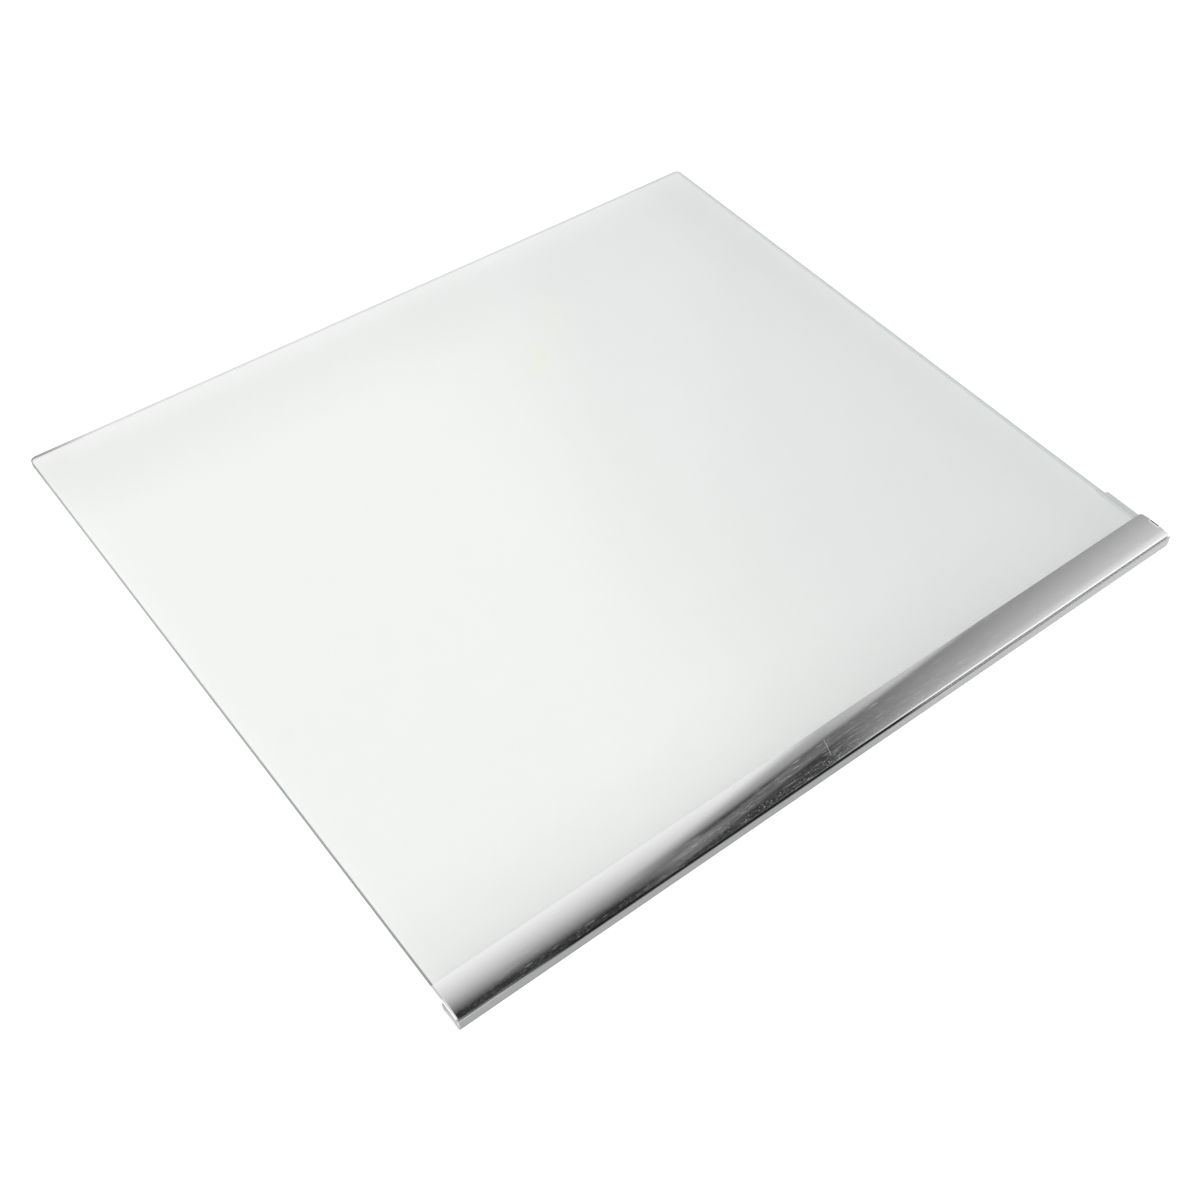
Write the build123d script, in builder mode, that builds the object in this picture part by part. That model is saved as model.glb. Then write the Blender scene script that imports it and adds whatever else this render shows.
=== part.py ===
"""Refrigerator glass shelf: a tempered glass panel gripped by a front trim moulding with a bright strip."""

import os

from build123d import *

os.makedirs("parts", exist_ok=True)

# Millimetres. X runs along the front trim, Y from the front to the back, Z up.
# The origin is the middle of the underside of the whole shelf.

# Overall size of the shelf, front of the trim to the back edge of the glass.
shelf_width = 480.0
shelf_depth = 426.0
front_y = -shelf_depth / 2
rear_y = shelf_depth / 2
end_x = shelf_width / 2

# Glass panel. Its underside stands this far above the foot of the trim.
glass_thickness = 4.0
glass_base = 3.0
glass_top = glass_base + glass_thickness
glass_side_margin = 1.0
glass_edge_x = end_x - glass_side_margin
relief_depth = 2.0
shoulder_end = 44.6
arris = 0.4
rear_corner_radius = 3.5
hidden_corner_radius = 6.0
shoulder_inner_radius = 1.0
shoulder_outer_radius = 0.7

# Trim moulding. Depths are counted back from the front of the trim.
nose_depth = 13.0
face_lean = 0.55
rim_height = 6.9
rim_width = 0.3
groove_depth = 1.0
upper_lip_reach = 21.5
lower_lip_reach = 20.0
lower_lip_thickness = 1.6
lip_thickness = 0.7
shoulder_back = 2.05
slot_clearance = 0.1
glass_front_clearance = 0.3
slot_top = glass_top + slot_clearance
seat_height = slot_top + lip_thickness
foot_radius = 0.6
foot_land = 1.0
rim_round = 0.15
lip_corner_radius = 2.0
end_round = 0.7
ledge_notch = 14.0

# Hollow under the nose, with cross ribs between its pockets.
front_wall = 2.6
back_wall = 1.8
pocket_height = 4.6
end_wall = 2.0
rib_thickness = 1.5
pocket_count = 8
pocket_corner = 0.8

# Bright strip lying on the flat top of the moulding, its front edge down in the groove.
strip_clearance = 0.15
parting_gap = 0.65
strip_foot_gap = 0.5
strip_rear_edge = 0.4
strip_crest = 1.4
strip_bead = 0.9
strip_end_margin = 0.7
strip_rear_round = 0.15
nick_start = 8.6
nick_length = 6.0
nick_depth = 0.8

# Glass panel: one flat sheet with arrissed edges. The right edge is set back behind
# a short shoulder, so the sheet is widest where the trim takes hold of it.
glass_front_y = front_y + nose_depth + glass_front_clearance
shoulder_y = front_y + shoulder_end
relief_x = glass_edge_x - relief_depth
with BuildPart() as glass_panel:
    with BuildSketch(Plane.XY.offset(glass_base)):
        with BuildLine():
            Polyline(
                (-glass_edge_x, glass_front_y),
                (glass_edge_x, glass_front_y),
                (glass_edge_x, shoulder_y),
                (relief_x, shoulder_y),
                (relief_x, rear_y),
                (-glass_edge_x, rear_y),
                close=True,
            )
        make_face()
        corners = vertices()
        fillet(corners.group_by(Axis.Y)[0], hidden_corner_radius)
        corners = vertices()
        fillet(corners.group_by(Axis.Y)[-1], rear_corner_radius)
        inner_corner = vertices().sort_by_distance((relief_x, shoulder_y))[0]
        fillet(inner_corner, shoulder_inner_radius)
        outer_corner = vertices().sort_by_distance((glass_edge_x, shoulder_y))[0]
        fillet(outer_corner, shoulder_outer_radius)
    extrude(amount=glass_thickness)
    chamfer(faces().sort_by(Axis.Z)[-1].edges(), arris)
    chamfer(faces().sort_by(Axis.Z)[0].edges(), arris)

# Trim moulding: the section is drawn looking along X and runs the full width. A slot
# between an upper and a lower lip takes the front edge of the glass, and a narrow groove
# behind the rim of the front face leaves room for the turned-down edge of the strip.
lower_lip_base = glass_base - lower_lip_thickness
rim_back = face_lean + rim_width
groove_floor = rim_height - groove_depth
with BuildPart() as trim_moulding:
    with BuildSketch(Plane.YZ):
        with BuildLine():
            Polyline(
                (front_y, 0.0),
                (front_y, foot_land),
                (front_y + face_lean, rim_height),
                (front_y + rim_back, rim_height),
                (front_y + rim_back, groove_floor),
                (front_y + shoulder_back, groove_floor),
                (front_y + shoulder_back, seat_height),
                (front_y + upper_lip_reach, seat_height),
                (front_y + upper_lip_reach, slot_top),
                (front_y + nose_depth, slot_top),
                (front_y + nose_depth, glass_base),
                (front_y + lower_lip_reach, glass_base),
                (front_y + lower_lip_reach, lower_lip_base),
                (front_y + nose_depth, lower_lip_base),
                (front_y + nose_depth, 0.0),
                close=True,
            )
        make_face()
        fillet(vertices().sort_by_distance((front_y, 0.0))[0], foot_radius)
        fillet(vertices().sort_by_distance((front_y + nose_depth, 0.0))[0], foot_radius)
        fillet(vertices().sort_by_distance((front_y + nose_depth, lower_lip_base))[0], foot_radius)
        fillet(vertices().sort_by_distance((front_y + lower_lip_reach, lower_lip_base))[0], foot_radius)
        fillet(vertices().sort_by_distance((front_y + face_lean, rim_height))[0], rim_round)
    extrude(amount=end_x, both=True)
    # The lower lip stops short of both ends, where the glass lies on the side ledges.
    with BuildSketch(Plane.XY):
        with Locations((end_x, front_y + nose_depth), (-end_x, front_y + nose_depth)):
            Rectangle(2 * ledge_notch, 2 * nose_depth, align=(Align.CENTER, Align.MIN))
    extrude(amount=glass_base, mode=Mode.SUBTRACT)
    # Pockets open underneath lighten the nose and leave thin ribs across it.
    pocket_run = shelf_width - 2 * end_wall
    pocket_pitch = (pocket_run + rib_thickness) / pocket_count
    pocket_depth = nose_depth - front_wall - back_wall
    pocket_y = front_y + front_wall + pocket_depth / 2
    with BuildSketch(Plane.XY):
        with Locations((0, pocket_y)):
            with GridLocations(pocket_pitch, 1, pocket_count, 1):
                RectangleRounded(pocket_pitch - rib_thickness, pocket_depth, pocket_corner)
    extrude(amount=pocket_height, mode=Mode.SUBTRACT)
    # Seen from above, the corners of the lip are well rounded and those of the face slightly.
    with BuildSketch(Plane.XY):
        with Locations((0, front_y)):
            Rectangle(shelf_width, upper_lip_reach, align=(Align.CENTER, Align.MIN))
        fillet(vertices().group_by(Axis.Y)[-1], lip_corner_radius)
        fillet(vertices().group_by(Axis.Y)[0], end_round)
    extrude(amount=2 * seat_height, mode=Mode.INTERSECT)

# Bright strip: a convex bar with a flat back, thin at the glass and turned down at the
# front in a small bead, a narrow dark gap behind the rim. A nick is missing from its right end.
strip_x = end_x - strip_end_margin
strip_front = rim_back + parting_gap
strip_foot = groove_floor + strip_foot_gap
strip_back_y = front_y + upper_lip_reach
strip_crest_y = front_y + upper_lip_reach / 2
hook_back_y = front_y + shoulder_back - strip_clearance
front_shoulder = seat_height + strip_rear_edge / 2
with BuildPart() as bright_strip:
    with BuildSketch(Plane.YZ):
        with BuildLine():
            Polyline(
                (front_y + strip_front, front_shoulder),
                (front_y + strip_front, strip_foot),
                (hook_back_y, strip_foot),
                (hook_back_y, seat_height),
                (strip_back_y, seat_height),
                (strip_back_y, seat_height + strip_rear_edge),
            )
            ThreePointArc(
                (strip_back_y, seat_height + strip_rear_edge),
                (strip_crest_y, seat_height + strip_crest),
                (front_y + strip_front, front_shoulder),
            )
        make_face()
        fillet(vertices().sort_by_distance((front_y + strip_front, front_shoulder))[0], strip_bead)
        fillet(
            vertices().sort_by_distance((strip_back_y, seat_height + strip_rear_edge))[0],
            strip_rear_round,
        )
    extrude(amount=strip_x, both=True)
    with BuildSketch(Plane.XY):
        with Locations((0, front_y)):
            Rectangle(2 * strip_x, upper_lip_reach, align=(Align.CENTER, Align.MIN))
        fillet(vertices().group_by(Axis.Y)[-1], lip_corner_radius)
    extrude(amount=2 * seat_height, mode=Mode.INTERSECT)
    with BuildSketch(Plane.XY.offset(seat_height)):
        with Locations((strip_x, front_y + nick_start + nick_length / 2)):
            RectangleRounded(2 * nick_depth, nick_length, nick_depth / 2)
    extrude(amount=2 * strip_crest, mode=Mode.SUBTRACT)

glass_panel.part.label = "glass_panel"
trim_moulding.part.label = "trim_moulding"
bright_strip.part.label = "bright_strip"
export_step(glass_panel.part, "parts/glass_panel.step")
export_step(trim_moulding.part, "parts/trim_moulding.step")
export_step(bright_strip.part, "parts/bright_strip.step")
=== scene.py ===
import math

import bmesh
import bpy
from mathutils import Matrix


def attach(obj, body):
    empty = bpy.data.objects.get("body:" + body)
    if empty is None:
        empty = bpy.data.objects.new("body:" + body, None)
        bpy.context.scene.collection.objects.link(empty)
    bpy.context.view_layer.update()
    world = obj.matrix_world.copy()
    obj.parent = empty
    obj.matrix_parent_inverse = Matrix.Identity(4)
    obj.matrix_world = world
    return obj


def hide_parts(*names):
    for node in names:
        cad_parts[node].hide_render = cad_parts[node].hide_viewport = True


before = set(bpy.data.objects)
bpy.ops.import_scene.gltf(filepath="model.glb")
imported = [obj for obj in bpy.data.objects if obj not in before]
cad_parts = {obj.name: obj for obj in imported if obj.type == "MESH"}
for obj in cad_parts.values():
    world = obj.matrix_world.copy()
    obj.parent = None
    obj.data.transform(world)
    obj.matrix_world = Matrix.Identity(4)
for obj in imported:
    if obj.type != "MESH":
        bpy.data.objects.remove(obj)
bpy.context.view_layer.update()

# GLASS PANEL
# A sheet of 4 mm tempered float glass, cut square with its edges ground and its corners
# rounded. The right edge is set back behind a shoulder. Its front is pushed into the trim.
mm = 0.001
glass_base = 3 * mm
glass_top = 7 * mm
glass_side = 239 * mm
glass_front = -199.7 * mm
shoulder_back = -168.4 * mm
relieved_side = 237 * mm
rear_edge = 213 * mm
hidden_corner = 6 * mm
shoulder_outer = 0.7 * mm
shoulder_inner = 1 * mm
rear_corner = 3.5 * mm
arris = 0.4 * mm
corner_steps = 10
sharp_from = math.radians(28)
glass_refraction = 1.52
clear_tint = (0.936, 0.946, 0.940, 1)
# Edge tones: the left ones and the rear-left corner one are painted shade; the right and rear ones are
# pale.
shaded_left_front_edge = (0.49, 0.518, 0.507, 1)
shaded_left_rear_edge = (0.79, 0.81, 0.803, 1)
right_ground = (0.96, 0.985, 0.975, 1)
rear_ground = (0.96, 0.95, 0.955, 1)
shaded_rear_corner_edge = (0.66, 0.655, 0.655, 1)
# The tint of the band of painted shade along the right edge.
shoulder_tint = (0.52, 0.563, 0.547, 1)
stain_tint = (0.920, 0.940, 0.846, 1)
stain_spot = (44 * mm, 114 * mm, glass_top)
stain_tail = (74 * mm, 142 * mm, glass_top)
stain_lean = math.radians(48)
stain_wander = 9 * mm
clean_rough = 0.004
film_rough = 0.012
stain_rough = 0.05
step_rough = 0.3
ground_rough = 0.35
stone_rough = 0.3


def rounded_outline(corners, inset):
    """The plan outline of right-angled corners, each (x, y, radius, turn), drawn in by inset."""
    points = []
    for i, (x, y, radius, turn) in enumerate(corners):
        before, after = corners[i - 1], corners[(i + 1) % len(corners)]
        back = (math.copysign(1, before[0] - x) if before[0] != x else 0,
                math.copysign(1, before[1] - y) if before[1] != y else 0)
        ahead = (math.copysign(1, after[0] - x) if after[0] != x else 0,
                 math.copysign(1, after[1] - y) if after[1] != y else 0)
        middle = (x + (back[0] + ahead[0]) * radius, y + (back[1] + ahead[1]) * radius)
        reach = radius - inset * turn
        start = math.atan2(-ahead[1], -ahead[0])
        for step in range(corner_steps + 1):
            angle = start + turn * math.pi / 2 * step / corner_steps
            points.append((middle[0] + reach * math.cos(angle), middle[1] + reach * math.sin(angle)))
    return points


def finished_piece(name, mesh):
    """Puts a finished mesh in the scene, smooth but for its real edges."""
    mesh.shade_smooth()
    mesh.set_sharp_from_angle(angle=sharp_from)
    piece = bpy.data.objects.new(name, mesh)
    bpy.context.scene.collection.objects.link(piece)
    return piece


def put(tree, kind, feeds=None, **settings):
    """Adds a node. feeds gives an input, by name or number, its value or the socket that drives it."""
    node = tree.nodes.new(kind)
    for name, value in settings.items():
        setattr(node, name, value)
    for name, value in (feeds or {}).items():
        if isinstance(value, bpy.types.NodeSocket):
            tree.links.new(value, node.inputs[name])
        else:
            node.inputs[name].default_value = value
    return node


def sums(tree, operation, *terms, clamp=False):
    """The result of one math node."""
    node = put(tree, "ShaderNodeMath", dict(enumerate(terms)), operation=operation, use_clamp=clamp)
    return node.outputs[0]


def spread(tree, value, low, high, to_low=0.0, to_high=1.0):
    """Turns a value between low and high smoothly into one between to_low and to_high."""
    feeds = {"Value": value, "From Min": low, "From Max": high, "To Min": to_low, "To Max": to_high}
    return put(tree, "ShaderNodeMapRange", feeds, interpolation_type="SMOOTHSTEP").outputs["Result"]


def mixed(tree, share, first, second):
    """A colour between two colours. The numbers are those of the mix node's colour sockets."""
    return put(tree, "ShaderNodeMix", {0: share, 6: first, 7: second}, data_type="RGBA").outputs[2]


def new_material(name):
    """An empty material with its output and its texture coordinates."""
    material = bpy.data.materials.new(name)
    material.use_nodes = True
    material.node_tree.nodes.clear()
    tree = material.node_tree
    return material, tree, put(tree, "ShaderNodeOutputMaterial"), put(tree, "ShaderNodeTexCoord")


def effect_group(name, inputs, outputs):
    """An empty shader group with named inputs, each (name, kind, value), and value outputs."""
    group = bpy.data.node_groups.new(name, "ShaderNodeTree")
    for label, kind, value in inputs:
        socket = group.interface.new_socket(label, in_out="INPUT", socket_type=kind)
        if value is not None:
            socket.default_value = value
    for label in outputs:
        group.interface.new_socket(label, in_out="OUTPUT", socket_type="NodeSocketFloat")
    return group, group.nodes.new("NodeGroupInput").outputs, group.nodes.new("NodeGroupOutput").inputs


# Cloudy marks that a damp cloth leaves, longer one way than the other.
wipe_haze, given, gives = effect_group(
    "wipe_haze",
    [
        ("Vector", "NodeSocketVector", None),
        ("Scale", "NodeSocketFloat", 12.0),
        ("Stretch", "NodeSocketVector", None),
    ],
    ["Haze"],
)
stretched = put(
    wipe_haze, "ShaderNodeVectorMath", {0: given["Vector"], 1: given["Stretch"]}, operation="MULTIPLY"
)
clouds = put(
    wipe_haze,
    "ShaderNodeTexNoise",
    {"Vector": stretched.outputs[0], "Scale": given["Scale"], "Detail": 3.0, "Roughness": 0.55},
)
wipe_haze.links.new(spread(wipe_haze, clouds.outputs[0], 0.38, 0.68), gives["Haze"])

corners = [
    (-glass_side, glass_front, hidden_corner, 1),
    (glass_side, glass_front, hidden_corner, 1),
    (glass_side, shoulder_back, shoulder_outer, 1),
    (relieved_side, shoulder_back, shoulder_inner, -1),
    (relieved_side, rear_edge, rear_corner, 1),
    (-glass_side, rear_edge, rear_corner, 1),
]
layers = (
    (glass_base, arris),
    (glass_base + arris, 0),
    (glass_top - arris, 0),
    (glass_top, arris),
)
sheet = bmesh.new()
rings = []
for height, inset in layers:
    rings.append([sheet.verts.new((x, y, height)) for x, y in rounded_outline(corners, inset)])
for lower, upper in zip(rings, rings[1:]):
    for i in range(len(lower)):
        j = (i + 1) % len(lower)
        sheet.faces.new((lower[i], lower[j], upper[j], upper[i]))
edge_faces = len(sheet.faces)
sheet.faces.new(rings[-1])
sheet.faces.new(reversed(rings[0]))
glass_mesh = bpy.data.meshes.new("shelf_glass_sheet")
sheet.to_mesh(glass_mesh)
sheet.free()
for i in range(edge_faces):
    glass_mesh.polygons[i].material_index = 1
shelf_glass = finished_piece("shelf_glass_sheet", glass_mesh)

glass, tree, out, place = new_material("tempered_glass")
here = place.outputs["Object"]
haze = put(
    tree, "ShaderNodeGroup", {"Vector": here, "Scale": 9, "Stretch": (1, 0.6, 1)}, node_tree=wipe_haze
)
# A dried drip: a small pool and a thinner tail behind it, ragged at the rim.
ragged = put(tree, "ShaderNodeTexNoise", {"Vector": here, "Scale": 160.0, "Detail": 3.0})
wander = sums(tree, "MULTIPLY", sums(tree, "SUBTRACT", ragged.outputs[0], 0.5), stain_wander)
masks = []
for middle, reach, strength in ((stain_spot, 9 * mm, 1.0), (stain_tail, 10 * mm, 0.5)):
    run = put(
        tree,
        "ShaderNodeMapping",
        {"Vector": here, "Location": middle, "Rotation": (0, 0, stain_lean), "Scale": (2, 1, 1)},
        vector_type="TEXTURE",
    )
    away = put(tree, "ShaderNodeVectorMath", {0: run.outputs[0]}, operation="LENGTH").outputs["Value"]
    masks.append(spread(tree, sums(tree, "ADD", away, wander), 2 * mm, reach, strength, 0))
stain = sums(tree, "MAXIMUM", *masks)
colour = mixed(tree, stain, clear_tint, stain_tint)
# A band of painted shade, green-grey and rougher, runs on the top along the right edge and widens at the
# step of the shoulder.
spot = put(tree, "ShaderNodeSeparateXYZ", {"Vector": here}).outputs
by_shoulder = spread(tree, spot["Y"], shoulder_back, shoulder_back + 9 * mm, 1, 0)
inner_line = sums(tree, "MULTIPLY_ADD", by_shoulder, 1.2 * mm, spot["X"])
edge_shade_band = spread(tree, inner_line, relieved_side - 1.4 * mm, relieved_side - 0.9 * mm)
fading_back = spread(tree, spot["Y"], shoulder_back, rear_edge, 1, 0.5)
along_edge = sums(tree, "MULTIPLY_ADD", by_shoulder, -0.45, fading_back)
on_step = sums(tree, "MULTIPLY", edge_shade_band, along_edge)
colour = mixed(tree, on_step, colour, shoulder_tint)
film = sums(tree, "MULTIPLY_ADD", haze.outputs["Haze"], film_rough, clean_rough)
rough = sums(tree, "MULTIPLY_ADD", on_step, step_rough, film)
rough = sums(tree, "MULTIPLY_ADD", stain, stain_rough, rough)
clear = put(
    tree,
    "ShaderNodeBsdfPrincipled",
    {
        "Base Color": colour,
        "Metallic": 0.0,
        "Roughness": rough,
        "IOR": glass_refraction,
        "Transmission Weight": 1.0,
    },
)
tree.links.new(clear.outputs[0], out.inputs["Surface"])
shelf_glass.data.materials.append(glass)

# The ground edge is painted dark along the left as shade, most at the front and at the rear corner, and
# pale elsewhere.
ground, tree, out, place = new_material("ground_glass_edge")
here = place.outputs["Object"]
spot = put(tree, "ShaderNodeSeparateXYZ", {"Vector": here}).outputs
from_front = spread(tree, spot["Y"], -250 * mm, 200 * mm)
shaded_left_side = mixed(tree, from_front, shaded_left_front_edge, shaded_left_rear_edge)
at_corner = spread(tree, spot["Y"], 180 * mm, 210 * mm)
shaded_left_side = mixed(tree, at_corner, shaded_left_side, shaded_rear_corner_edge)
to_rear = spread(tree, spot["Y"], 0.0, 212 * mm)
right_side = mixed(tree, to_rear, right_ground, rear_ground)
off_left = spread(tree, spot["X"], -232 * mm, -190 * mm)
around = mixed(tree, off_left, shaded_left_side, right_side)
stone = put(tree, "ShaderNodeTexNoise", {"Vector": here, "Scale": 1500.0, "Detail": 2.0}).outputs[0]
rough = sums(tree, "MULTIPLY_ADD", stone, stone_rough, ground_rough)
matt = put(
    tree, "ShaderNodeBsdfPrincipled", {"Base Color": around, "Roughness": rough, "IOR": glass_refraction}
)
misty = put(tree, "ShaderNodeBsdfTranslucent", {"Color": around})
coarse = spread(tree, spot["X"], -235 * mm, -200 * mm, 0.3, 0.85)
see_in = put(tree, "ShaderNodeMixShader", {0: coarse, 1: matt.outputs[0], 2: misty.outputs[0]})
tree.links.new(see_in.outputs[0], out.inputs["Surface"])
shelf_glass.data.materials.append(ground)
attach(shelf_glass, "root")
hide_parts("glass_panel")

# TRIM MOULDING
# A bar of grey plastic, moulded in one piece. Two lips grip the front edge of the glass, a
# narrow groove runs behind the rim of its face, and pockets with ribs between lighten it.
front_edge = -213 * mm
trim_side = 240 * mm
# Its section is drawn in millimetres: depths behind the front edge, and heights.
nose = 13.0
foot_round = 0.6
foot_land = 1.0
face_lean = 0.55
face_steps = 7
rim_height = 6.9
rim_round = 0.15
rim_back = 0.85
groove_floor = 5.9
groove_back = 2.05
seat = 7.8
slot_top = 7.1
slot_floor = 3.0
lip_reach = 21.5
lip_steps = 8
lower_reach = 20.0
lower_base = 1.4
left_corner = 0.5
right_corner = 2.0
face_corner = 0.7
pocket_count = 8
rib = 1.5
pocket_run = 476.0
pocket_pitch = (pocket_run + rib) / pocket_count
pocket_depth = 8.6
front_wall = 2.6
pocket_line = front_wall + pocket_depth / 2
pocket_height = 4.6
pocket_corner = 0.8
ledge_notch = 14.0
notch_depth = 20.0
notch_height = 6.0
notch_middle = 1.0
cut_below = 1.0
satin_grey = (0.365, 0.368, 0.372, 1)
worn_grey = (0.62, 0.62, 0.62, 1)
# Painted shade, black, in the groove and the nick, and painted light, pale, in the groove at the right.
painted_shade_black = (0.03, 0.03, 0.032, 1)
painted_light_pale = (0.86, 0.86, 0.855, 1)
# A painted highlight on the left end's edges.
painted_highlight_white = (0.93, 0.93, 0.93, 1)
rim_wear = 0.1
# How pale the left end's face is painted, as lit from the left.
end_light_share = 0.38
satin_rough = 0.30
grain_rough = 0.16


def behind(depth):
    """The place in Y of a depth behind the front edge of the trim."""
    return front_edge + depth * mm


def filleted(path, steps=5):
    """A section's corners, each (depth, height, radius), as points, with the radii drawn as arcs."""
    points = []
    for i, (s, z, radius) in enumerate(path):
        if not radius:
            points.append((s, z))
            continue
        sides = []
        for other in (path[i - 1], path[(i + 1) % len(path)]):
            length = math.hypot(other[0] - s, other[1] - z)
            sides.append(((other[0] - s) / length, (other[1] - z) / length))
        half = math.acos(sides[0][0] * sides[1][0] + sides[0][1] * sides[1][1]) / 2
        away = radius / math.sin(half) / (2 * math.cos(half))
        middle = (s + (sides[0][0] + sides[1][0]) * away, z + (sides[0][1] + sides[1][1]) * away)
        turn = []
        for side in sides:
            touch_s = s + side[0] * radius / math.tan(half)
            touch_z = z + side[1] * radius / math.tan(half)
            turn.append(math.atan2(touch_z - middle[1], touch_s - middle[0]))
        sweep = (turn[1] - turn[0] + math.pi) % (2 * math.pi) - math.pi
        for step in range(steps + 1):
            angle = turn[0] + sweep * step / steps
            points.append((middle[0] + radius * math.cos(angle), middle[1] + radius * math.sin(angle)))
    return points


def corner_inset(s, radius, reach):
    """How far a rounded corner of that radius, ending at reach, draws a bar's end in at depth s."""
    inside = s - (reach - radius)
    return radius - math.sqrt(max(0.0, radius**2 - inside**2)) if inside > 0 else 0.0


def swept_bar(name, section, left_end, right_end, rows=()):
    """
    A bar along X. section has (depth, height) points in order, and the ends are functions of depth.
    rows pairs the numbers of upper and lower points at the same depth, front to back, between which
    the ends stand upright.
    """
    bar = bmesh.new()
    left = [bar.verts.new((left_end(s), behind(s), z * mm)) for s, z in section]
    right = [bar.verts.new((right_end(s), behind(s), z * mm)) for s, z in section]
    for i in range(len(section)):
        j = (i + 1) % len(section)
        bar.faces.new((left[i], right[i], right[j], left[j]))
    for ring in (left, right):
        for (upper, lower), (next_upper, next_lower) in zip(rows, rows[1:]):
            bar.faces.new((ring[upper], ring[next_upper], ring[next_lower], ring[lower]))
        bar.faces.new(ring[: rows[0][0] + 1] + ring[rows[0][1] :] if rows else ring)
    bmesh.ops.recalc_face_normals(bar, faces=bar.faces)
    mesh = bpy.data.meshes.new(name)
    bar.to_mesh(mesh)
    bar.free()
    return mesh


def trim_end(s, lip_corner):
    """How far from the middle the moulding ends at depth s, with that radius at the back of its lip."""
    inset = corner_inset(s, lip_corner, lip_reach) + corner_inset(-s, face_corner, 0)
    return trim_side - inset * mm


# The face has rows for its rounded ends, and the lip has rows for the round at either end of it.
face_rows = []
for k in range(face_steps):
    height = foot_land + (rim_height - foot_land) * k / face_steps
    face_rows.append((face_lean * k / face_steps, height, 0))
lip_rows = [lip_reach]
for radius in (right_corner, left_corner):
    for k in range(lip_steps):
        lip_rows.append(lip_reach - radius * (1 - math.sin(math.pi / 2 * k / lip_steps)))
lip_rows.sort()
moulding_section = filleted(
    [(0, 0, foot_round)]
    + face_rows
    + [(face_lean, rim_height, rim_round), (rim_back, rim_height, 0), (rim_back, groove_floor, 0)]
    + [(groove_back, groove_floor, 0), (groove_back, seat, 0)]
    + [(s, seat, 0) for s in lip_rows]
    + [(s, slot_top, 0) for s in reversed(lip_rows)]
    + [(nose, slot_top, 0), (nose, slot_floor, 0)]
    + [(lower_reach, slot_floor, 0), (lower_reach, lower_base, foot_round)]
    + [(nose, lower_base, foot_round), (nose, 0, foot_round)]
)
first_row = moulding_section.index((lip_rows[0], seat))
last_row = moulding_section.index((lip_rows[0], slot_top))
bar_mesh = swept_bar(
    "front_moulding",
    moulding_section,
    lambda s: -trim_end(s, left_corner),
    lambda s: trim_end(s, right_corner),
    [(first_row + k, last_row - k) for k in range(len(lip_rows))],
)
bar_piece = bpy.data.objects.new("front_moulding_bar", bar_mesh)
bpy.context.scene.collection.objects.link(bar_piece)

# The row of pockets underneath, and the two notches in the lower lip, are cut by a node tree.
cutting = bpy.data.node_groups.new("ribbed_underside", "GeometryNodeTree")
cutting.interface.new_socket("Geometry", in_out="INPUT", socket_type="NodeSocketGeometry")
pocket_sizes = {
    "Pocket Count": ("NodeSocketInt", pocket_count),
    "Pocket Pitch": ("NodeSocketFloat", pocket_pitch * mm),
    "Pocket Length": ("NodeSocketFloat", (pocket_pitch - rib) * mm),
    "Pocket Depth": ("NodeSocketFloat", pocket_depth * mm),
    "Pocket Height": ("NodeSocketFloat", pocket_height * mm),
    "Pocket Corner": ("NodeSocketFloat", pocket_corner * mm),
    "Pocket Line": ("NodeSocketFloat", behind(pocket_line)),
    "Notch Length": ("NodeSocketFloat", ledge_notch * mm),
    "Notch Front": ("NodeSocketFloat", behind(nose)),
    "Bar End": ("NodeSocketFloat", trim_side),
    "Finish": ("NodeSocketMaterial", None),
}
sockets = {
    label: cutting.interface.new_socket(label, in_out="INPUT", socket_type=kind).identifier
    for label, (kind, value) in pocket_sizes.items()
}
cutting.interface.new_socket("Geometry", in_out="OUTPUT", socket_type="NodeSocketGeometry")
size = cutting.nodes.new("NodeGroupInput").outputs
mouth = put(
    cutting,
    "GeometryNodeCurvePrimitiveQuadrilateral",
    {"Width": size["Pocket Length"], "Height": size["Pocket Depth"]},
)
rounded = put(
    cutting,
    "GeometryNodeFilletCurve",
    {"Curve": mouth.outputs[0], "Radius": size["Pocket Corner"], "Count": 4},
    mode="POLY",
)
flat = put(cutting, "GeometryNodeFillCurve", {"Curve": rounded.outputs[0]}, mode="NGONS")
below = put(
    cutting,
    "GeometryNodeTransform",
    {"Geometry": flat.outputs[0], "Translation": (0, 0, -cut_below * mm)},
)
rise = sums(cutting, "ADD", size["Pocket Height"], cut_below * mm)
upward = put(cutting, "ShaderNodeCombineXYZ", {"Z": rise})
raised = put(
    cutting,
    "GeometryNodeExtrudeMesh",
    {"Mesh": below.outputs[0], "Offset": upward.outputs[0], "Offset Scale": 1.0, "Individual": False},
)
turned = put(cutting, "GeometryNodeFlipFaces", {"Mesh": below.outputs[0]})
joined = put(cutting, "GeometryNodeJoinGeometry")
cutting.links.new(raised.outputs[0], joined.inputs[0])
cutting.links.new(turned.outputs[0], joined.inputs[0])
pocket = put(cutting, "GeometryNodeMergeByDistance", {"Geometry": joined.outputs[0], "Distance": 1e-6})
gaps = sums(cutting, "SUBTRACT", size["Pocket Count"], 1.0)
whole_run = sums(cutting, "MULTIPLY", gaps, size["Pocket Pitch"])
first_x = sums(cutting, "MULTIPLY", whole_run, -0.5)
first = put(cutting, "ShaderNodeCombineXYZ", {"X": first_x, "Y": size["Pocket Line"]})
pitch = put(cutting, "ShaderNodeCombineXYZ", {"X": size["Pocket Pitch"]})
row = put(
    cutting,
    "GeometryNodeMeshLine",
    {"Count": size["Pocket Count"], "Start Location": first.outputs[0], "Offset": pitch.outputs[0]},
    mode="OFFSET",
)
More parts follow.
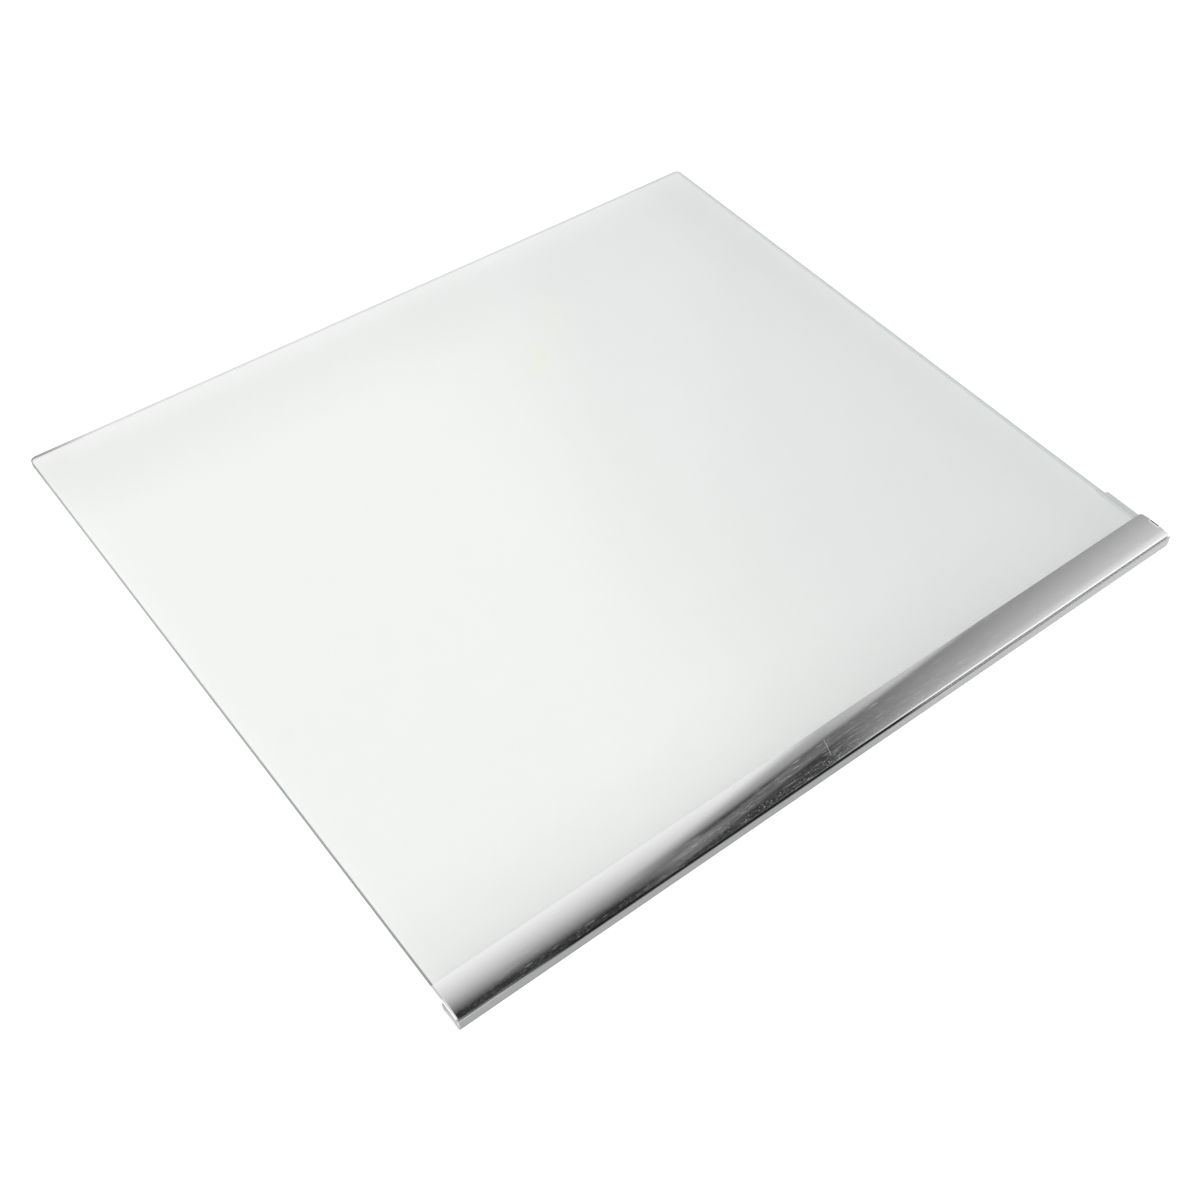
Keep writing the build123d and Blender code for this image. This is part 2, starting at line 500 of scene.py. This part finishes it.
pockets = put(
    cutting, "GeometryNodeInstanceOnPoints", {"Points": row.outputs[0], "Instance": pocket.outputs[0]}
)
cutters = put(cutting, "GeometryNodeJoinGeometry")
cutting.links.new(pockets.outputs[0], cutters.inputs[0])
notch_wide = sums(cutting, "MULTIPLY", size["Notch Length"], 2.0)
notch_box = put(
    cutting, "ShaderNodeCombineXYZ", {"X": notch_wide, "Y": notch_depth * mm, "Z": notch_height * mm}
)
block = put(cutting, "GeometryNodeMeshCube", {"Size": notch_box.outputs[0]})
notch_y = sums(cutting, "ADD", size["Notch Front"], notch_depth / 2 * mm)
for side in (-1.0, 1.0):
    notch_x = sums(cutting, "MULTIPLY", size["Bar End"], side)
    spot = put(cutting, "ShaderNodeCombineXYZ", {"X": notch_x, "Y": notch_y, "Z": notch_middle * mm})
    notch = put(
        cutting, "GeometryNodeTransform", {"Geometry": block.outputs[0], "Translation": spot.outputs[0]}
    )
    cutting.links.new(notch.outputs[0], cutters.inputs[0])
solid_cutters = put(cutting, "GeometryNodeRealizeInstances", {"Geometry": cutters.outputs[0]})
cut = put(cutting, "GeometryNodeMeshBoolean", operation="DIFFERENCE", solver="EXACT")
cutting.links.new(size["Geometry"], cut.inputs["Mesh 1"])
cutting.links.new(solid_cutters.outputs[0], cut.inputs["Mesh 2"])
real = put(cutting, "GeometryNodeRealizeInstances", {"Geometry": cut.outputs["Mesh"]})
finish = put(cutting, "GeometryNodeSetMaterial", {"Geometry": real.outputs[0], "Material": size["Finish"]})
result = cutting.nodes.new("NodeGroupOutput")
cutting.links.new(finish.outputs[0], result.inputs[0])

# Fine straight scratches, mostly along one way, as wiping and sliding leave them.
fine_scratches, given, gives = effect_group(
    "fine_scratches",
    [
        ("Vector", "NodeSocketVector", None),
        ("Scale", "NodeSocketFloat", 60.0),
        ("Amount", "NodeSocketFloat", 0.5),
    ],
    ["Scratch"],
)
marks = []
for turn, seed in ((4, 0.0), (-9, 3.7), (63, 8.1)):
    turned = put(
        fine_scratches,
        "ShaderNodeMapping",
        {
            "Vector": given["Vector"],
            "Location": (seed, seed, 0),
            "Rotation": (0, 0, math.radians(turn)),
            "Scale": (1, 22, 22),
        },
    )
    lines = put(
        fine_scratches,
        "ShaderNodeTexNoise",
        {"Vector": turned.outputs[0], "Scale": given["Scale"], "Detail": 2.0, "Roughness": 0.6},
    )
    marks.append(spread(fine_scratches, lines.outputs[0], 0.66, 0.74))
most = sums(fine_scratches, "MAXIMUM", marks[0], marks[1])
most = sums(fine_scratches, "MAXIMUM", most, marks[2])
scratched = sums(fine_scratches, "MULTIPLY", most, given["Amount"], clamp=True)
fine_scratches.links.new(scratched, gives["Scratch"])

plastic, tree, out, place = new_material("satin_grey_plastic")
here = place.outputs["Object"]
parts = put(tree, "ShaderNodeSeparateXYZ", {"Vector": here}).outputs
grain = put(tree, "ShaderNodeTexNoise", {"Vector": here, "Scale": 1800.0, "Detail": 2.0}).outputs[0]
scuffs = put(
    tree, "ShaderNodeGroup", {"Vector": here, "Scale": 45, "Amount": 0.35}, node_tree=fine_scratches
)
rim = spread(tree, parts["Z"], 6.2 * mm, rim_height * mm)
front_only = spread(tree, parts["Y"], behind(0.9), behind(1.0), 1, 0)
rubbed = sums(tree, "MULTIPLY", sums(tree, "MULTIPLY", rim, front_only), rim_wear)
worn = sums(tree, "MAXIMUM", rubbed, scuffs.outputs["Scratch"])
# Painted shade and light in the groove: black on the left and over the rim, pale on the right.
on_rim = spread(tree, parts["Y"], behind(0.45), behind(0.58))
past_rim = spread(tree, parts["Y"], behind(0.80), behind(0.84))
before_hook = spread(tree, parts["Y"], behind(2.2), behind(2.4), 1, 0)
from_left = spread(tree, parts["X"], -225 * mm, -170 * mm)
groove_shade_along = sums(tree, "MULTIPLY", from_left, spread(tree, parts["X"], 40 * mm, 230 * mm, 1, 0.45))
groove_shade = sums(tree, "MULTIPLY", sums(tree, "MULTIPLY", on_rim, before_hook), groove_shade_along)
groove_light_along = spread(tree, parts["X"], 25 * mm, 60 * mm)
groove_light = sums(tree, "MULTIPLY", sums(tree, "MULTIPLY", past_rim, before_hook), groove_light_along)
# The left end is painted pale, as lit from the left, and its edges carry a painted white highlight.
top_edge = spread(tree, parts["Z"], 6.7 * mm, 7.2 * mm)
front_line = spread(tree, parts["Y"], behind(0.3), behind(0.65), 1, 0)
end_edge = sums(tree, "MAXIMUM", top_edge, front_line)
lit_end_front = spread(tree, parts["Y"], front_edge, behind(nose), end_light_share, 0.1)
lit_end_foot = spread(tree, parts["Z"], 0, 5 * mm, end_light_share, 0)
lit_end_face = sums(tree, "ADD", lit_end_front, lit_end_foot, clamp=True)
from_nose = spread(tree, parts["Y"], behind(nose), behind(nose + 1), 1, 0.5)
at_end = spread(tree, parts["X"], 0.2 * mm - trim_side, 0.5 * mm - trim_side, 1, 0)
lit_end = sums(tree, "MULTIPLY", at_end, sums(tree, "MAXIMUM", end_edge, lit_end_face))
lit_end = sums(tree, "MULTIPLY", lit_end, from_nose)
colour = mixed(tree, worn, satin_grey, worn_grey)
colour = mixed(tree, groove_shade, colour, painted_shade_black)
colour = mixed(tree, lit_end, colour, painted_highlight_white)
colour = mixed(tree, groove_light, colour, painted_light_pale)
rough = sums(tree, "MULTIPLY_ADD", grain, grain_rough, satin_rough)
relief = put(tree, "ShaderNodeBump", {"Height": grain, "Strength": 0.12, "Distance": 0.05 * mm})
satin = put(
    tree,
    "ShaderNodeBsdfPrincipled",
    {"Base Color": colour, "Metallic": 0.0, "Roughness": rough, "IOR": 1.5, "Normal": relief.outputs[0]},
)
tree.links.new(satin.outputs[0], out.inputs["Surface"])

cutter = bar_piece.modifiers.new("ribbed_underside", "NODES")
cutter.node_group = cutting
for label, (kind, value) in pocket_sizes.items():
    cutter[sockets[label]] = plastic if label == "Finish" else value
cut_bar = bar_piece.evaluated_get(bpy.context.evaluated_depsgraph_get())
moulding_mesh = bpy.data.meshes.new_from_object(cut_bar)
bpy.data.objects.remove(bar_piece)
moulding_mesh.name = "front_moulding"
front_moulding = finished_piece("front_moulding", moulding_mesh)
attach(front_moulding, "root")
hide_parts("trim_moulding")

# BRIGHT STRIP
# A convex metal-faced strip laid along the flat top of the moulding, with a small bead turned
# down into the groove at its front. It is polished, scratched, and nicked at the right end.
strip_side = 239.3 * mm
# Its section too is in millimetres.
strip_front = 1.5
strip_foot = 6.4
strip_shoulder = 8.0
strip_crest = 9.2
strip_rear = 8.2
hook_back = 1.9
hook_clear = 0.05
bead = 0.9
bead_steps = 12
crest_steps = 72
rear_round = 0.15
rear_steps = 5
nick_start = 8.6
nick_length = 6.0
nick_middle = nick_start + nick_length / 2
nick_end = nick_start + nick_length
nick_depth = 1.1
nick_floor = 0.25
nick_corner = 0.4
nick_wall = 0.02
nick_waves = ((0.08, 4.3), (0.05, 11))
bright_metal = (0.86, 0.86, 0.865, 1)
scratch_tone = (0.93, 0.93, 0.93, 1)
grip_depth = 12.4
grip_slant = 0.07
grip_dulling = -0.14
mark_dulling = 0.3
polish_rough = 0.05
smear_rough = 0.05
mark_rough = 0.25
scratch_start = (-11.5 * mm, behind(15), 0)
scratch_length = 10.4 * mm
scratch_way = (-0.328, -0.945, 0)
scratch_side = (0.945, -0.328, 0)


def circle_through(first, second, third):
    """The middle, as depth and height, and the radius of the circle through three points."""
    (a, p), (b, q), (c, r) = first, second, third
    spin = 2 * (a * (q - r) + b * (r - p) + c * (p - q))
    s = ((a**2 + p**2) * (q - r) + (b**2 + q**2) * (r - p) + (c**2 + r**2) * (p - q)) / spin
    z = ((a**2 + p**2) * (c - b) + (b**2 + q**2) * (a - c) + (c**2 + r**2) * (b - a)) / spin
    return s, z, math.hypot(a - s, p - z)


def arc_rows(s, z, radius, start, end, steps):
    """Points along an arc of the section."""
    turns = [start + (end - start) * k / steps for k in range(steps + 1)]
    return [(s + radius * math.cos(a), z + radius * math.sin(a)) for a in turns]


def strip_left(s):
    """The left end of the strip at depth s."""
    return -strip_side + corner_inset(s, left_corner, lip_reach) * mm


def strip_right(s):
    """The right end of the strip at depth s, with its ragged nick."""
    into = min(s - nick_start, nick_end - s)
    missing = 0.0
    if into > nick_wall / 2:
        missing = nick_depth - corner_inset(nick_corner - into, nick_corner, nick_corner)
        ragged_by = 1.0
        for share, waves in nick_waves:
            ragged_by += share * math.sin(waves * s)
        missing *= ragged_by
    return strip_side - (corner_inset(s, right_corner, lip_reach) + missing) * mm


# The crown goes up round the bead, over the crest and down round the rear edge.
arc_s, arc_z, arc_radius = circle_through(
    (strip_front, strip_shoulder), (lip_reach / 2, strip_crest), (lip_reach, strip_rear)
)
bead_s = strip_front + bead
bead_z = arc_z + math.sqrt((arc_radius - bead) ** 2 - (bead_s - arc_s) ** 2)
back_s = lip_reach - rear_round
back_z = arc_z + math.sqrt((arc_radius - rear_round) ** 2 - (back_s - arc_s) ** 2)
front_turn = math.atan2(bead_z - arc_z, bead_s - arc_s)
back_turn = math.atan2(back_z - arc_z, back_s - arc_s)
crown = [(strip_front, strip_foot)]
crown += arc_rows(bead_s, bead_z, bead, math.pi, front_turn, bead_steps)
crown += arc_rows(arc_s, arc_z, arc_radius, front_turn, back_turn, crest_steps)[1:]
crown += arc_rows(back_s, back_z, rear_round, back_turn, 0, rear_steps)[1:]
# Two rows close together at either side of the nick make its upright walls.
for edge_s in (nick_start, nick_start + nick_wall, nick_end - nick_wall, nick_end):
    crown.append((edge_s, arc_z + math.sqrt(arc_radius**2 - (edge_s - arc_s) ** 2)))
rising = sorted(crown[: bead_steps + 1], key=lambda p: p[1])
crown = rising + sorted(crown[bead_steps + 1 :], key=lambda p: (round(p[0], 6), -p[1]))
over_seat = [k for k, (s, z) in enumerate(crown) if s > hook_back + hook_clear]
under = [(crown[k][0], seat) for k in reversed(over_seat)]
strip_section = crown + under + [(hook_back, seat), (hook_back, strip_foot)]
strip_rows = list(zip(over_seat, range(len(crown) + len(under) - 1, len(crown) - 1, -1)))
strip_mesh = swept_bar("bright_strip_bar", strip_section, strip_left, strip_right, strip_rows)
# The metal face is torn off at the nick, and the core stands there a little lower, painted dark as shade.
core = [(s, z - nick_floor) for s, z in crown if nick_start <= s <= nick_end]
core += [(nick_end, seat), (nick_start, seat)]
core_mesh = swept_bar(
    "nick_core", core, lambda s: strip_side - 2 * nick_depth * mm, lambda s: strip_side
)
whole = bmesh.new()
whole.from_mesh(strip_mesh)
whole.from_mesh(core_mesh)
whole.to_mesh(strip_mesh)
whole.free()
bpy.data.meshes.remove(core_mesh)
bright_strip = finished_piece("bright_strip_bar", strip_mesh)

metal, tree, out, place = new_material("polished_strip")
here = place.outputs["Object"]
parts = put(tree, "ShaderNodeSeparateXYZ", {"Vector": here}).outputs
depth = sums(tree, "SUBTRACT", parts["Y"], front_edge)
smears = put(
    tree, "ShaderNodeGroup", {"Vector": here, "Scale": 60, "Stretch": (0.25, 2.2, 1)}, node_tree=wipe_haze
)
hairs = put(
    tree, "ShaderNodeGroup", {"Vector": here, "Scale": 75, "Amount": 0.5}, node_tree=fine_scratches
)
# Hands that pull the shelf out have dulled a slanting band left of its middle.
band_middle = sums(tree, "MULTIPLY_ADD", parts["X"], grip_slant, grip_depth * mm)
from_band = sums(tree, "ABSOLUTE", sums(tree, "SUBTRACT", depth, band_middle))
band_start = spread(tree, parts["X"], -145 * mm, -95 * mm)
gripped = sums(tree, "MULTIPLY", band_start, spread(tree, parts["X"], -40 * mm, 30 * mm, 1, 0))
smeared = sums(tree, "MULTIPLY_ADD", smears.outputs["Haze"], 0.4, 0.6)
dull = sums(tree, "MULTIPLY", gripped, spread(tree, from_band, 1.5 * mm, 3 * mm, 1, 0.12))
dull = sums(tree, "MULTIPLY", dull, smeared)
# Small pits lie thickest along its front and about its middle.
pits = put(tree, "ShaderNodeTexNoise", {"Vector": here, "Scale": 1500.0, "Detail": 2.0}).outputs[0]
from_middle = sums(tree, "ABSOLUTE", sums(tree, "SUBTRACT", parts["X"], 10 * mm))
handled = spread(tree, from_middle, 40 * mm, 130 * mm, 1, 0.5)
pitted = spread(tree, pits, 0.60, 0.74)
pitted = sums(tree, "MULTIPLY", pitted, spread(tree, depth, 4 * mm, 7.5 * mm, 1, 0.1))
pitted = sums(tree, "MULTIPLY", pitted, handled)
# Wiping has left short streaks along the strip.
drawn_out = put(
    tree,
    "ShaderNodeMapping",
    {"Vector": here, "Rotation": (0, 0, math.radians(2)), "Scale": (0.05, 1, 1)},
)
streaks = put(
    tree,
    "ShaderNodeTexNoise",
    {"Vector": drawn_out.outputs[0], "Scale": 1300.0, "Detail": 3.0, "Roughness": 0.7},
)
streaked = spread(tree, streaks.outputs[0], 0.52, 0.78, 0, 0.5)
streaked = sums(tree, "MULTIPLY", streaked, spread(tree, depth, 10 * mm, 15 * mm, 1, 0.25))
streaked = sums(tree, "MULTIPLY", streaked, handled)
# One long scratch runs across the strip just left of its middle.
from_start = put(
    tree, "ShaderNodeVectorMath", {0: here, 1: scratch_start}, operation="SUBTRACT"
).outputs[0]
along, aside = [
    put(tree, "ShaderNodeVectorMath", {0: from_start, 1: way}, operation="DOT_PRODUCT").outputs["Value"]
    for way in (scratch_way, scratch_side)
]
off_middle = sums(tree, "ABSOLUTE", sums(tree, "SUBTRACT", along, scratch_length / 2))
in_length = spread(tree, off_middle, scratch_length / 2 - 1 * mm, scratch_length / 2, 1, 0)
in_width = spread(tree, sums(tree, "ABSOLUTE", aside), 0.03 * mm, 0.16 * mm, 0.8, 0)
scored = sums(tree, "MULTIPLY", in_length, in_width)
# Painted highlights: a matt white rim round the nick and a pale line along the cut at the left end. The
# nick's core is painted dark, as shade.
from_end = sums(tree, "SUBTRACT", strip_side, parts["X"])
off_nick = sums(tree, "ABSOLUTE", sums(tree, "SUBTRACT", depth, nick_middle * mm))
nick_highlight = sums(
    tree,
    "MULTIPLY",
    spread(tree, from_end, (nick_depth + 0.4) * mm, (nick_depth + 1.2) * mm, 0.5, 0),
    spread(tree, off_nick, (nick_length / 2 + 0.2) * mm, (nick_length / 2 + 0.7) * mm, 1, 0),
)
shaded_core = sums(
    tree,
    "MULTIPLY",
    spread(tree, from_end, 0.9 * nick_depth * mm, nick_depth * mm, 1, 0),
    spread(tree, off_nick, (nick_length / 2 - 0.1) * mm, nick_length / 2 * mm, 1, 0),
)
at_cut = spread(tree, parts["X"], -strip_side, -strip_side + 0.08 * mm, 0.85, 0)
left_cut_highlight = sums(tree, "MULTIPLY", at_cut, spread(tree, depth, 12.5 * mm, 14 * mm, 1, 0.5))
rough_spots = sums(tree, "MAXIMUM", hairs.outputs["Scratch"], pitted)
marked = sums(tree, "MAXIMUM", rough_spots, sums(tree, "MAXIMUM", scored, streaked))
less_bright = sums(tree, "MULTIPLY", marked, mark_dulling)
dulled_and_painted = sums(tree, "MAXIMUM", less_bright, sums(tree, "MAXIMUM", nick_highlight, left_cut_highlight))
dulled_and_painted = sums(tree, "MAXIMUM", dulled_and_painted, shaded_core)
shine = sums(tree, "MULTIPLY_ADD", dull, grip_dulling, 1.0)
shine = sums(tree, "SUBTRACT", shine, dulled_and_painted, clamp=True)
# The nick's core is painted black, as shade.
colour = mixed(tree, shaded_core, mixed(tree, marked, bright_metal, scratch_tone), painted_shade_black)
film = sums(tree, "MULTIPLY_ADD", smears.outputs["Haze"], smear_rough, polish_rough)
rough = sums(tree, "MULTIPLY_ADD", marked, mark_rough, film)
polished = put(
    tree, "ShaderNodeBsdfPrincipled", {"Base Color": colour, "Metallic": shine, "Roughness": rough}
)
tree.links.new(polished.outputs[0], out.inputs["Surface"])
bright_strip.data.materials.append(metal)
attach(bright_strip, "root")
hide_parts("bright_strip")

# STUDIO
# A white table top with painted shade, darker to the right. The room is bright behind and at the right,
# dim in front and overhead. Two soft boxes, at the front right and at the left, light the trim alone.
near_tone = (0.93, 0.93, 0.92, 1)
far_tone = (0.56, 0.585, 0.583, 1)
full_shade = (0, 0, 0, 1)
table_size = 6
table_drop = 0.05 * mm
floor_lift = 0.45
white_lift = 0.8
day_level = 0.72
table = bmesh.new()
bmesh.ops.create_grid(table, x_segments=1, y_segments=1, size=table_size)
bmesh.ops.translate(table, verts=table.verts, vec=(0, 0, -table_drop))
floor_mesh = bpy.data.meshes.new("table_top")
table.to_mesh(floor_mesh)
table.free()
floor = bpy.data.objects.new("table_top", floor_mesh)
bpy.context.scene.collection.objects.link(floor)
paper, tree, out, place = new_material("white_table")
ray = put(tree, "ShaderNodeLightPath").outputs
spot = put(tree, "ShaderNodeSeparateXYZ", {"Vector": place.outputs["Object"]}).outputs
through = sums(tree, "MULTIPLY", ray["Is Transmission Ray"], floor_lift)
seen = sums(tree, "MULTIPLY_ADD", ray["Is Camera Ray"], white_lift, through)
# Painted shade: the table darkens to the right.
falling = put(
    tree, "ShaderNodeMapRange", {"Value": spot["X"], "From Min": -40 * mm, "From Max": 340 * mm}
).outputs["Result"]
toned = mixed(tree, falling, near_tone, far_tone)
# Soft shade lies on it behind the trim, at the front right, toward the rear and at the right.
by_trim = spread(tree, spot["Y"], -185 * mm, -135 * mm, 0.12, 0)
by_trim = sums(tree, "MULTIPLY", by_trim, spread(tree, spot["X"], 100 * mm, 220 * mm, 1, 0.4))
front_right = spread(tree, spot["X"], -80 * mm, 100 * mm)
front_right = sums(tree, "MULTIPLY", front_right, spread(tree, spot["Y"], -200 * mm, 50 * mm, 0.1, 0))
by_rear = spread(tree, spot["Y"], 130 * mm, 215 * mm, 0, 0.17)
by_rear = sums(tree, "MULTIPLY", by_rear, spread(tree, spot["X"], 0.0, 160 * mm, 1, 0.2))
at_right = spread(tree, spot["X"], 180 * mm, 240 * mm, 0, 0.09)
front_shades = sums(tree, "ADD", by_trim, front_right)
shades = sums(tree, "ADD", front_shades, sums(tree, "ADD", by_rear, at_right))
toned = mixed(tree, shades, toned, full_shade)
matt = put(tree, "ShaderNodeBsdfDiffuse", {"Color": toned})
lift = put(tree, "ShaderNodeEmission", {"Strength": seen})
both = put(tree, "ShaderNodeAddShader", {0: matt.outputs[0], 1: lift.outputs[0]})
# What the polished strip mirrors of the table: in shade in front of its left half.
in_front = spread(tree, spot["Y"], -200 * mm, -190 * mm, 1, 0)
in_front = sums(tree, "MULTIPLY", in_front, spread(tree, spot["X"], -247 * mm, -241 * mm))
shade = sums(tree, "MULTIPLY", in_front, spread(tree, spot["X"], -20 * mm, 70 * mm, 0.95, 0))
glint = put(tree, "ShaderNodeEmission", {"Strength": sums(tree, "SUBTRACT", 1.0, shade)})
mirrored = sums(tree, "SUBTRACT", ray["Is Glossy Ray"], ray["Is Transmission Ray"], clamp=True)
shown = put(tree, "ShaderNodeMixShader", {0: mirrored, 1: both.outputs[0], 2: glint.outputs[0]})
tree.links.new(shown.outputs[0], out.inputs["Surface"])
floor.data.materials.append(paper)

# The room, by direction. What the strip mirrors of it is drawn out, and all else sees plain light.
wall_glow = 2.0
wall_bend = -0.78
wall_dip = 0.035
wall_least = 0.01
wall_steps = ((-0.31, 0.235, 0.305, 0.53), (-0.55, 0.205, 0.275, 0.47))
side_start = 0.485
side_level = 1.55
side_slope = -1.2
side_most = 1.1
window_start = 0.1
window_glow = 11.0
world = bpy.data.worlds.new("studio")
bpy.context.scene.world = world
world.use_nodes = True
tree = world.node_tree
tree.nodes.clear()
out = put(tree, "ShaderNodeOutputWorld")
toward = put(tree, "ShaderNodeTexCoord").outputs["Generated"]
ray = put(tree, "ShaderNodeLightPath").outputs
way = put(tree, "ShaderNodeSeparateXYZ", {"Vector": toward}).outputs
# The wall behind glows from the horizon up, and ends at the right in two slanting steps.
rise = sums(tree, "MAXIMUM", way["Y"], 0.0)
glow = sums(tree, "MULTIPLY", rise, sums(tree, "MULTIPLY_ADD", rise, wall_bend, wall_glow))
glow = sums(tree, "MAXIMUM", sums(tree, "SUBTRACT", glow, wall_dip), wall_least)
slant = sums(tree, "MAXIMUM", way["Y"], 0.28)
steps = []
for lean, start, end, share in wall_steps:
    across = sums(tree, "MULTIPLY_ADD", slant, lean, way["X"])
    steps.append(spread(tree, across, start, end, share, 0))
glow = sums(tree, "MULTIPLY", glow, spread(tree, way["Y"], 0.82, 0.95, 1, 0.65))
back_wall = sums(tree, "MULTIPLY", glow, sums(tree, "ADD", *steps))
# The right side brightens toward the front, as by a window, and the left side is plain.
beside = sums(tree, "MAXIMUM", sums(tree, "SUBTRACT", way["X"], side_start), 0.0)
side_wall = sums(tree, "SQRT", beside)
side_wall = sums(
    tree, "MULTIPLY", side_wall, sums(tree, "MULTIPLY_ADD", way["Y"], side_slope, side_level)
)
forward = sums(tree, "MAXIMUM", sums(tree, "SUBTRACT", window_start, way["Y"]), 0.0)
window = sums(tree, "MULTIPLY", sums(tree, "MULTIPLY", beside, forward), window_glow)
right_wall = sums(tree, "MINIMUM", sums(tree, "ADD", side_wall, window), side_most)
right_wall = sums(tree, "MULTIPLY", right_wall, spread(tree, way["X"], 0.7, 0.88, 1, 0.55))
left_wall = spread(tree, way["X"], -0.4, 0.12, 0.5, 0.03)
room = sums(tree, "ADD", sums(tree, "MAXIMUM", back_wall, left_wall), right_wall)
plain = sums(tree, "MULTIPLY_ADD", ray["Is Diffuse Ray"], day_level - 1, 1.0)
mirrored = sums(tree, "SUBTRACT", ray["Is Glossy Ray"], ray["Is Transmission Ray"], clamp=True)
level = sums(tree, "MULTIPLY_ADD", sums(tree, "SUBTRACT", room, plain), mirrored, plain)
sky = put(tree, "ShaderNodeBackground", {"Color": (1, 1, 1, 1), "Strength": level})
tree.links.new(sky.outputs[0], out.inputs["Surface"])

trim_pieces = bpy.data.collections.new("trim_pieces")
trim_pieces.objects.link(front_moulding)
trim_pieces.objects.link(bright_strip)


def soft_box(name, spot, aim, width, height, power):
    """A low soft box at spot, facing aim. It lights the trim alone, and isn't itself seen or mirrored."""
    lamp = bpy.data.lights.new(name, "AREA")
    lamp.shape = "RECTANGLE"
    lamp.size = width
    lamp.size_y = height
    lamp.energy = power
    box = bpy.data.objects.new(name, lamp)
    bpy.context.scene.collection.objects.link(box)
    box.location = spot
    away = [a - s for a, s in zip(aim, spot)]
    tip = math.atan2(math.hypot(away[0], away[1]), -away[2])
    swing = math.atan2(-away[0], away[1])
    box.rotation_euler = (tip, 0, swing)
    box.visible_camera = False
    box.visible_glossy = False
    box.visible_transmission = False
    box.light_linking.receiver_collection = trim_pieces


soft_box("front_box", (0.52, -0.62, 0.25), (0.2, -0.21, 0.01), width=0.5, height=0.2, power=3.4)
soft_box("left_box", (-0.66, -0.42, 0.4), (-0.24, -0.2, 0.005), width=0.3, height=0.3, power=3.3)

# CAMERA
# Set where the photograph was taken from: high, in front and to the left of the shelf.
view = bpy.data.cameras.new("camera")
view.lens = 47.822
view.sensor_width = 36
view.clip_start = 0.01
camera = bpy.data.objects.new("camera", view)
bpy.context.scene.collection.objects.link(camera)
camera.location = (-0.394727, -0.477389, 0.651142)
camera.rotation_euler = [math.radians(a) for a in (40.18482, -1.80950, -37.93498)]
bpy.context.scene.camera = camera
bpy.context.scene.view_settings.view_transform = "Standard"
